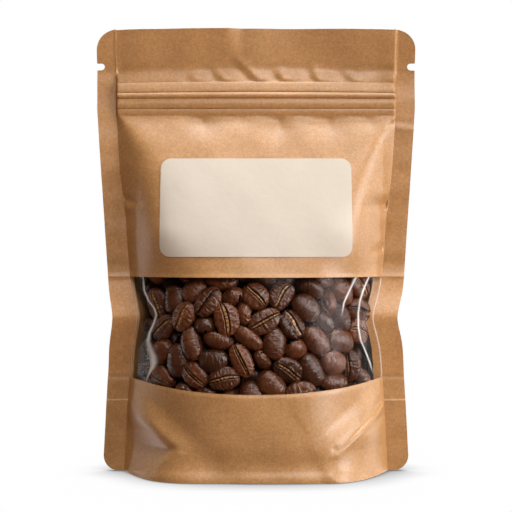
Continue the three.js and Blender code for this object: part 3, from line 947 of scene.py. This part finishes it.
def film_y(x, z):
    """The film lies just behind the paper, drawn up along its creases."""
    across = across_body(x, z)
    bottom = window_bottom(across)
    from_edge = np.minimum(WINDOW_TOP - z, z - bottom)
    plain = middle_shift(x, z) + seal_wave(x, z) - panel_depth(x, z) - front_swell(x, z)
    tucked = EDGE_CURL * smooth(bottom + FILM_TUCK - z, 0.0, FILM_TUCK)
    creased = CREASE_HEIGHT * crease_lines(x, z) * smooth(from_edge, *CREASE_FADE)
    return plain + PAPER + FILM_SET_BACK + tucked - creased


def film_milk_and_highlight(x, z):
    """How white the film is painted: a highlight along its creases, and a cloudy line along the seals'
    inner edges.
    """
    strength, distance, width = SEAL_MILK
    beside_seal = strength * bell((to_seal(x, z) - distance) / width)
    return np.maximum(CREASE_PAINTED_HIGHLIGHT * crease_lines(x, z), beside_seal)


def window_film(material):
    """The film from seal to seal, which laps behind the paper above and below."""
    columns = panel_columns(body_count=400, seal_count=1)[None, 1:-1]
    share = np.linspace(0.0, 1.0, 151)[:, None]
    z = lerp(window_bottom(columns) - FILM_LAP, WINDOW_TOP + FILM_LAP, share)
    x = column_x(columns, z)
    points = grid_points(x, film_y(x, z), z)
    rows, count, _ = points.shape
    piece = mesh_object("film_sheet", points.reshape(-1, 3), grid_faces(rows, count), material, 180.0)
    add_attribute(piece.data, "milk_and_painted_highlight", film_milk_and_highlight(x, z).reshape(-1))
    piece.visible_shadow = False
    return piece


# Beans

BEAN_COUNT = 130
BEAN_HALF = np.array([5.4, 2.9, 4.1])
BEAN_SPREAD = (0.06, 0.06, 0.05)
BEAN_TILT = 0.25
BEAN_MARKS = ("cleft", "chaff", "tone", "skin")
BEAN_GROUPS = ("beans_left", "beans_right", "beans_behind")
WRINKLE_SCALE = np.array([1.25, 0.5, 0.45])
RIB_HEIGHT = 0.04
BUMP_HEIGHT = 0.034

# Rings and angles of fine and coarse beans: the angles are degrees from the middle of the groove
FINE_RINGS = 45
COARSE_RINGS = 11
FINE_ANGLES = (1.6, 3.2, 4.4, 5.6, 7.0, 8.6, 10.5, 13.0, 16.5, 21.5, 28.0, 36.0, 45.0, 55.0, 66.0, 78.0)
FINE_ANGLES += (90.0, 104.0, 120.0, 140.0, 160.0)
COARSE_ANGLES = (6.0, 12.0, 24.0, 48.0, 80.0, 120.0, 150.0)

# Chaff in a groove: its heights as shares of the groove's depth, and how often each comes
CHAFF_HEIGHTS = (0.2, 0.6, 0.8)
CHAFF_ODDS = (0.12, 0.33, 0.55)
CHAFF_LEAST = 0.3

# The heap behind the window
HEAP_BOTTOM = 20.0
HEAP_TOP = 76.0
HEAP_DEPTH = 15.0
HEAP_BACK = 14.0
HEAP_MARGIN = 1.2
HEAP_GAP = 0.3
HEAP_SINK = 2.2
SINK_RANGE = (WINDOW_TOP - 7.0, WINDOW_TOP + 2.0)
FINE_DEPTH = 8.5
# Painted shade on deeper beans: the depths where it begins and is full, and its strength
SHADE_DEPTH = (4.2, 8.5)
DEEP_SHADE = 0.8

# The core of the heap, painted near-black as shade: thickness, inset, depth behind the film, deepest place,
# gap to the back
CORE_THICK = 1.0
CORE_INSET = HEAP_MARGIN + 3.2
CORE_DEPTH = 11.0
CORE_DEEPEST = 6.0
CORE_GAP = 0.4

# Packing: a bean is a set of balls in its plane, which grow and are pushed apart in many small rounds
BALL_RADIUS = 2.8
BALL_PLACES = ((-2.6, 0.0), (2.6, 0.0), (-1.2, -1.0), (-1.2, 1.0), (1.2, -1.0), (1.2, 1.0))
BALLS = np.array([(x, 0.0, z) for x, z in BALL_PLACES])
ROUNDS = 320
GROWING_ROUNDS = 0.6 * ROUNDS
PRESSING_ROUNDS = 0.9 * ROUNDS
ROUNDS_PER_SEARCH = 6
FIRST_SIZE = 0.55
NEAR = 12.5
MOST_PUSH = 3.0
MOST_OVERLAP = 2.0
SHOVE = 0.3
MOVE = 1.1
TURN = 0.6
PRESS = 0.05
PRESS_WAY = np.array([0.0, 1.0, 0.3])
FIELD_X = (-56.0, 57.0)
FIELD_Z = (12.0, 84.0)


def turn_matrices(vectors):
    """Rotation matrices from rotation vectors."""
    angle = np.linalg.norm(vectors, axis=-1)
    axis = vectors / np.maximum(angle, 1e-9)[:, None]
    x, y, z = axis.T
    zero = np.zeros_like(x)
    cross = np.stack([zero, -z, y, z, zero, -x, -y, x, zero], axis=-1).reshape(-1, 3, 3)
    sine = np.sin(angle)[:, None, None]
    cosine = np.cos(angle)[:, None, None]
    return np.eye(3) + sine * cross + (1.0 - cosine) * (cross @ cross)


def heap_front(x, z):
    """The inside of the front, behind film and paper, where the beans sink back under the window's top."""
    sink = HEAP_SINK * smooth(z, *SINK_RANGE)
    return np.maximum(film_y(x, z), front_y(x, z) + PAPER) + HEAP_GAP + sink


def front_fields():
    """The inside of the front and its slopes, across and up, on a grid of points one apart."""
    x, z = np.meshgrid(np.arange(*FIELD_X), np.arange(*FIELD_Z))
    inside = heap_front(x, z)
    slope_z, slope_x = np.gradient(inside)
    return inside, slope_x, slope_z


def read_field(field, x, z):
    """Values between the points of a field."""
    rows, columns = field.shape
    place_x = np.clip(x - FIELD_X[0], 0.0, columns - 1.001)
    place_z = np.clip(z - FIELD_Z[0], 0.0, rows - 1.001)
    column, row = place_x.astype(int), place_z.astype(int)
    part_x, part_z = place_x - column, place_z - row
    lower = lerp(field[row, column], field[row, column + 1], part_x)
    upper = lerp(field[row + 1, column], field[row + 1, column + 1], part_x)
    return lerp(lower, upper, part_z)


def heap_limits(balls, fields):
    """Pushes that bring balls back inside the film, the heap's ends and its back."""
    x, y, z = balls[..., 0], balls[..., 1], balls[..., 2]
    limit, slope_x, slope_z = [read_field(field, x, z) for field in fields]
    steep = np.sqrt(1.0 + slope_x**2 + slope_z**2)
    inside = np.clip(BALL_RADIUS - (y - limit) / steep, 0.0, MOST_PUSH) / steep
    push = np.stack([-slope_x * inside, inside, -slope_z * inside], axis=-1)
    end = body_half(z, np.sign(x)) - HEAP_MARGIN - BALL_RADIUS
    push[..., 0] -= np.sign(x) * np.clip(np.abs(x) - end, 0.0, MOST_PUSH)
    back = np.minimum(limit + HEAP_DEPTH, HEAP_BACK)
    push[..., 1] -= np.clip(y + BALL_RADIUS - back, 0.0, MOST_PUSH)
    push[..., 2] += np.clip(HEAP_BOTTOM + BALL_RADIUS - z, 0.0, MOST_PUSH)
    push[..., 2] -= np.clip(z + BALL_RADIUS - HEAP_TOP, 0.0, MOST_PUSH)
    return push


def push_apart(move, balls, first, second, reach):
    """Adds to the moves what parts the balls of neighbouring beans."""
    apart = balls[first][:, :, None] - balls[second][:, None]
    length = np.maximum(np.linalg.norm(apart, axis=-1), 1e-6)
    overlap = np.clip(reach - length, 0.0, MOST_OVERLAP)
    shove = SHOVE * apart * (overlap / length)[..., None]
    np.add.at(move, first, shove.sum(axis=2))
    np.add.at(move, second, -shove.sum(axis=1))


def strewn_beans(random):
    """Centres and turns of beans strewn through the heap, more or less flat to the front."""
    centre = np.empty((BEAN_COUNT, 3))
    centre[:, 2] = random.uniform(HEAP_BOTTOM + 3.0, HEAP_TOP - 3.0, BEAN_COUNT)
    centre[:, 0] = random.uniform(-1.0, 1.0, BEAN_COUNT) * (body_half(centre[:, 2], 1.0) - 8.0)
    front = film_y(centre[:, 0], centre[:, 2])
    centre[:, 1] = front + random.uniform(2.5, HEAP_DEPTH - 2.5, BEAN_COUNT)
    spin = random.uniform(-math.pi, math.pi, (BEAN_COUNT, 1)) * np.array([0.0, 1.0, 0.0])
    tilt = random.normal(0.0, BEAN_TILT, (BEAN_COUNT, 3)) * np.array([1.0, 0.0, 1.0])
    flip = np.where(random.random((BEAN_COUNT, 1)) < 0.5, math.pi, 0.0) * np.array([1.0, 0.0, 0.0])
    return centre, turn_matrices(tilt) @ turn_matrices(spin) @ turn_matrices(flip)


def packed_beans(fields):
    """Centres and turns of beans that lie against the film and each other."""
    centre, turn = strewn_beans(np.random.default_rng(SEED))
    for step in range(ROUNDS):
        size = lerp(FIRST_SIZE, 1.0, min(1.0, step / GROWING_ROUNDS))
        arms = (turn @ (BALLS.T * size)[None]).transpose(0, 2, 1)
        balls = centre[:, None, :] + arms
        move = heap_limits(balls, fields)
        if step % ROUNDS_PER_SEARCH == 0:
            gaps = np.linalg.norm(centre[:, None] - centre[None], axis=-1)
            first, second = np.nonzero(np.triu(gaps < NEAR, 1))
        push_apart(move, balls, first, second, 2.0 * BALL_RADIUS * size)
        press = PRESS * max(0.0, 1.0 - step / PRESSING_ROUNDS)
        centre = centre + MOVE * move.mean(axis=1) - press * PRESS_WAY
        torque = np.cross(arms, move).sum(axis=1) / (np.sum(arms**2, axis=(1, 2))[:, None] + 1e-6)
        turn = turn_matrices(TURN * torque) @ turn
    return centre, turn


def bean_angles(fine):
    """Angles round a bean, close together at its groove."""
    offsets = FINE_ANGLES if fine else COARSE_ANGLES
    return np.radians(np.array([0.0, *offsets, 180.0, *np.negative(offsets[::-1])]) - 90.0)


def crinkles(random, points, ribbed):
    """Heights of a roasted skin: ribs across the flat side and shallow bumps all over."""
    ribs = np.zeros(len(points))
    for wave in random.uniform(0.8, 1.5, 4):
        slant = random.normal(0.0, 0.25)
        along = points[:, 0] + slant * points[:, 2]
        ribs += np.sin(2.0 * math.pi * along / wave + random.uniform(0.0, 6.3))
    bumps = np.zeros(len(points))
    for wave in random.uniform(1.0, 2.2, 9):
        way = random.normal(0.0, 1.0, 3)
        way = way / np.linalg.norm(way)
        bumps += np.sin(2.0 * math.pi * (points @ way) / wave + random.uniform(0.0, 6.3))
    return RIB_HEIGHT * ribs * ribbed + BUMP_HEIGHT * bumps


def bean_body(random, half, along, girth, sine, across):
    """A smooth bean: domed on +Y, flat on -Y, long in X and slightly bent."""
    under = np.clip(-sine, 0.0, 1.0)
    bend = random.normal(0.0, 0.4) * (1.0 - along**2)
    line = random.normal(0.0, 0.3) * np.sin(along * 2.6 + random.uniform(-0.6, 0.6)) * under
    x = half[0] * along + 0.0 * sine
    z = half[2] * girth * across + bend + line * girth
    dome = half[1] * 1.12 * girth * np.clip(sine, 0.0, 1.0)
    flat = half[1] * 0.80 * girth**0.8 * under**0.62
    return x, dome - flat - 0.16 * half[1], z


def bean_cleft(random, along, girth, sine, across):
    """The bean's crease on -Y: how far it dips, its groove, the shade painted on its sides, its chaff, and
    the ribbed skin beside it.
    """
    strip = random.uniform(0.055, 0.1)
    slit = strip + random.uniform(0.05, 0.07)
    filled = random.choice(CHAFF_HEIGHTS, p=CHAFF_ODDS)
    away = np.abs(across) * np.sqrt(girth)
    from_end = 1.0 - np.abs(along)
    below = (sine < 0.0) * smooth(from_end, 0.01, 0.1)
    groove = below * falling(away, slit, slit + 0.05)
    ridge = below * falling(away, strip, strip + 0.025)
    lips = below * bell((away - slit - 0.12) / 0.09)
    dip = random.uniform(0.9, 1.25) * (groove - filled * ridge) - 0.2 * lips
    chaff = ridge * (filled > CHAFF_LEAST) * smooth(from_end, 0.08, 0.26)
    ribbed = (sine < 0.0) * smooth(away, slit, slit + 0.25) * girth
    return dip, groove, groove * (1.0 - ridge), chaff, ribbed


def bean_shape(random, fine):
    """Points, faces, painted shade of the groove, and chaff of one bean."""
    round_angle = bean_angles(fine)[None, :]
    long_angle = np.linspace(0.0, math.pi, FINE_RINGS if fine else COARSE_RINGS)[:, None]
    half = BEAN_HALF * random.normal(1.0, BEAN_SPREAD, 3).clip(0.86, 1.14)
    along = np.cos(long_angle)
    girth = np.sin(long_angle) ** 0.84
    sine = np.sin(round_angle)
    across = np.sign(np.cos(round_angle)) * np.abs(np.cos(round_angle)) ** 0.92
    x, y, z = bean_body(random, half, along, girth, sine, across)
    dip, groove, cleft, chaff, ribbed = bean_cleft(random, along, girth, sine, across)
    points = grid_points(x, y + dip, z).reshape(-1, 3)
    outward = points / half**2
    outward = outward / np.maximum(np.linalg.norm(outward, axis=1), 1e-6)[:, None]
    lift = crinkles(random, points, ribbed.reshape(-1)) * (1.0 - groove.reshape(-1))
    points = points + outward * lift[:, None]
    index = np.arange(x.size).reshape(x.shape)
    ahead = np.roll(index, -1, axis=1)
    quads = np.stack([index[:-1], index[1:], ahead[1:], ahead[:-1]], axis=-1).reshape(-1, 4)
    return points, quads, cleft.reshape(-1), chaff.reshape(-1)


def bean_heap(material):
    """The beans in three meshes: the front ones on the left and on the right, finer, and those behind."""
    random = np.random.default_rng(SEED + 1)
    fields = front_fields()
    centre, turn = packed_beans(fields)
    depth = centre[:, 1] - read_field(fields[0], centre[:, 0], centre[:, 2])
    parts = {name: {key: [] for key in ("points", "faces", *BEAN_MARKS)} for name in BEAN_GROUPS}
    for place, matrix, behind in zip(centre, turn, depth):
        fine = behind < FINE_DEPTH
        group = parts[BEAN_GROUPS[int(place[0] > 0.0) if fine else 2]]
        shape, faces, cleft, chaff = bean_shape(random, fine)
        points = shape @ matrix.T + place
        limit = read_field(fields[0], points[:, 0], points[:, 2])
        points[:, 1] += max(0.0, np.max(limit - points[:, 1]))
        group["faces"].append(faces + sum(len(done) for done in group["points"]))
        group["points"].append(points)
        # Painted shade: beans deeper behind the front are darkened by their depth
        group["cleft"].append(np.maximum(cleft, DEEP_SHADE * smooth(behind, *SHADE_DEPTH)))
        group["chaff"].append(chaff)
        group["tone"].append(np.full(len(points), random.random()))
        group["skin"].append(shape * WRINKLE_SCALE + random.uniform(-99.0, 99.0, 3))
    pieces = []
    for name, group in parts.items():
        joined = {key: np.concatenate(values) for key, values in group.items()}
        piece = mesh_object(name, joined["points"], joined["faces"], material, 180.0)
        for mark in BEAN_MARKS:
            add_attribute(piece.data, mark, joined[mark])
        pieces.append(piece)
    return pieces


def shaded_bean_core(material):
    """The inside of the heap, behind the beans: a sheet painted near-black as shade."""
    columns = np.linspace(-1.0, 1.0, 61)[None, :]
    z = np.linspace(HEAP_BOTTOM, HEAP_TOP, 41)[:, None] + 0.0 * columns
    x = columns * (body_half(z, np.sign(columns)) - CORE_INSET)
    lumps = 1.1 * np.sin(0.8 * x + 0.5 * z) * np.sin(0.75 * z - 0.4 * x)
    room = back_y(x, z) - PAPER - CORE_THICK - CORE_GAP
    depth = np.minimum(np.minimum(film_y(x, z) + CORE_DEPTH, CORE_DEEPEST) + lumps, room)
    piece = sheet_object("shaded_bean_core", x, depth, z, CORE_THICK, material)
    for mark in BEAN_MARKS:
        # Painted shade: the whole core takes the deep beans' dark shade
        add_attribute(piece.data, mark, np.full(len(piece.data.vertices), DEEP_SHADE * (mark == "cleft")))
    return piece


# Label

LABEL_CORNER = 3.4
LABEL_THICK = 0.16
LABEL_EVENNESS = 0.5
LABEL_LIFT = 0.12
LABEL_GAP = 0.03


def label_sheet(material):
    """The blank sticker, which follows the front panel more evenly than the paper under it."""
    low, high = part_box("label")
    half = high.x / MM
    bottom, top = low.z / MM, high.z / MM
    turn = np.linspace(0.0, math.pi / 2, 9)
    into = LABEL_CORNER * (1.0 - np.cos(turn))
    rows = np.concatenate([bottom + into, np.linspace(bottom, top, 46), top - into])
    rows = np.unique(rows.round(4))[:, None]
    away = np.minimum(rows - bottom, top - rows)
    inset = np.clip(LABEL_CORNER - away, 0.0, LABEL_CORNER)
    reach = half - LABEL_CORNER + np.sqrt(LABEL_CORNER**2 - inset**2)
    x = np.linspace(-1.0, 1.0, 91)[None, :] * reach
    z = rows + 0.0 * x
    front = front_y(x, z)
    even = middle_shift(x, z) - panel_depth(x, z)
    y = lerp(front, even, LABEL_EVENNESS) - LABEL_LIFT - LABEL_THICK
    y = np.minimum(y, front - LABEL_THICK - LABEL_GAP)
    return sheet_object("label_paper", x, y, z, LABEL_THICK, material)


# Stage, light and camera

CAMERA_DISTANCE = 430.0
CAMERA_HEIGHT = 74.1
CAMERA_LENS = 87.3
LAMP_TARGET = (0.0, 0.0, 0.08)

# Softboxes: name, turn from the front towards +X and rise in degrees, size in metres, power
SOFTBOXES = (
    ("top", 0.0, 85.0, (0.5, 0.4), 7.1),
    ("side_key", 62.0, 8.0, (0.5, 0.5), 8.1),
    ("high_key", 100.0, 70.0, (0.5, 0.5), 6.0),
    ("front", 16.0, 36.0, (0.4, 0.4), 3.9),
    ("right_strip", 105.0, 4.0, (0.05, 0.7), 2.2),
    ("left_strip", -112.0, 4.0, (0.05, 0.7), 0.7),
    ("back", 170.0, 30.0, (0.5, 0.5), 7.0),
)

# Light from all round: the table's and the room's, and what glossy faces show of the front and the back
TABLE_GLOW = (0.47, 0.32, 0.23, 1.0)
ROOM_GLOW = grey(0.02)
GLOSS_FRONT = grey(0.02)
GLOSS_BACK = grey(2.8)

# Shade on the floor: reach in metres, range of the openness and the darkest shade
FLOOR_SHADES = ((0.016, 0.45, 1.0, 0.5), (0.12, 0.4, 1.0, 0.985), (0.003, 0.4, 0.9, 0.3))
FLOOR_LEVEL = -0.15
FLOOR_REACH = 3000.0


def add_camera():
    data = bpy.data.cameras.new("camera")
    data.lens = CAMERA_LENS
    data.sensor_width = 36.0
    data.clip_start = 0.01
    camera = new_object("camera", data)
    camera.location = (0.0, -CAMERA_DISTANCE * MM, CAMERA_HEIGHT * MM)
    camera.rotation_euler = (math.pi / 2, 0.0, 0.0)
    bpy.context.scene.camera = camera


def add_softbox(name, azimuth, elevation, size, power):
    """A soft rectangular lamp, one metre from its target."""
    data = bpy.data.lights.new(name, "AREA")
    data.shape = "RECTANGLE"
    data.size, data.size_y = size
    data.energy = power
    lamp = new_object(name, data)
    turn, rise = math.radians(azimuth), math.radians(elevation)
    way = Vector((math.sin(turn) * math.cos(rise), -math.cos(turn) * math.cos(rise), math.sin(rise)))
    lamp.location = way + Vector(LAMP_TARGET)
    lamp.rotation_euler = (-way).to_track_quat("-Z", "Y").to_euler()


def add_surround():
    """White to the eye; as light, a dim room over a warm table, and for gloss a bright low band behind."""
    nodes = Nodes(bpy.data.worlds.new("surround"), "ShaderNodeOutputWorld")
    direction = nodes.add("ShaderNodeTexCoord").outputs["Generated"]
    split = nodes.add("ShaderNodeSeparateXYZ", {"Vector": direction}).outputs
    path = nodes.add("ShaderNodeLightPath").outputs
    room = nodes.mix(nodes.remap(split["Z"], -0.12, 0.12, 0.0, 1.0), TABLE_GLOW, ROOM_GLOW)
    behind = nodes.remap(split["Y"], 0.1, 0.6, 0.0, 1.0)
    low = nodes.remap(split["Z"], -0.14, 0.1, 1.0, 0.0)
    sheen = nodes.mix(nodes.math("MULTIPLY", behind, low), GLOSS_FRONT, GLOSS_BACK)
    lit = nodes.mix(path["Is Glossy Ray"], room, sheen)
    seen = nodes.mix(path["Is Camera Ray"], lit, grey(1.0))
    bpy.context.scene.world = nodes.finish(nodes.add("ShaderNodeBackground", {"Color": seen}))
    bpy.context.scene.view_settings.view_transform = "Standard"


def add_stage():
    """A floor as white as the surround, with soft shade where the object stands close."""
    nodes = material_nodes("floor")
    shade = None
    for distance, low, high, darkest in FLOOR_SHADES:
        openness = nodes.add("ShaderNodeAmbientOcclusion", {"Distance": distance}, samples=12).outputs["AO"]
        band = nodes.remap(openness, low, high, darkest, 1.0)
        shade = nodes.math("MULTIPLY", shade, band) if shade else band
    material = nodes.finish(nodes.add("ShaderNodeEmission", {"Strength": shade}))
    ways = ((-1, -1), (1, -1), (1, 1), (-1, 1))
    corners = [(x * FLOOR_REACH, y * FLOOR_REACH, FLOOR_LEVEL) for x, y in ways]
    floor = mesh_object("floor", corners, [(0, 1, 2, 3)], material)
    floor.visible_diffuse = False
    floor.visible_glossy = False


def attach(piece, node):
    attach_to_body(piece, "root")
    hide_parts(node)


def build():
    kraft = kraft_material("kraft", *KRAFT)
    # Painted light: the strips beside the window are made brighter with a lighter copy of the kraft
    brightened_kraft = kraft_material("kraft_brightened", *BRIGHTENED_KRAFT)
    roasted = bean_material()
    for make in (front_upper, front_lower, back_panel, gusset):
        attach(make(kraft), "pouch")
    for name in SIDES:
        attach(weld_strip(name, brightened_kraft), "pouch")
        attach(gusset_weld(name, kraft), "pouch")
    attach(window_film(film_material()), "window_film")
    for piece in bean_heap(roasted) + [shaded_bean_core(roasted)]:
        attach(piece, "beans")
    attach(label_sheet(label_material()), "label")
    add_camera()
    for softbox in SOFTBOXES:
        add_softbox(*softbox)
    add_stage()
    add_surround()


build()
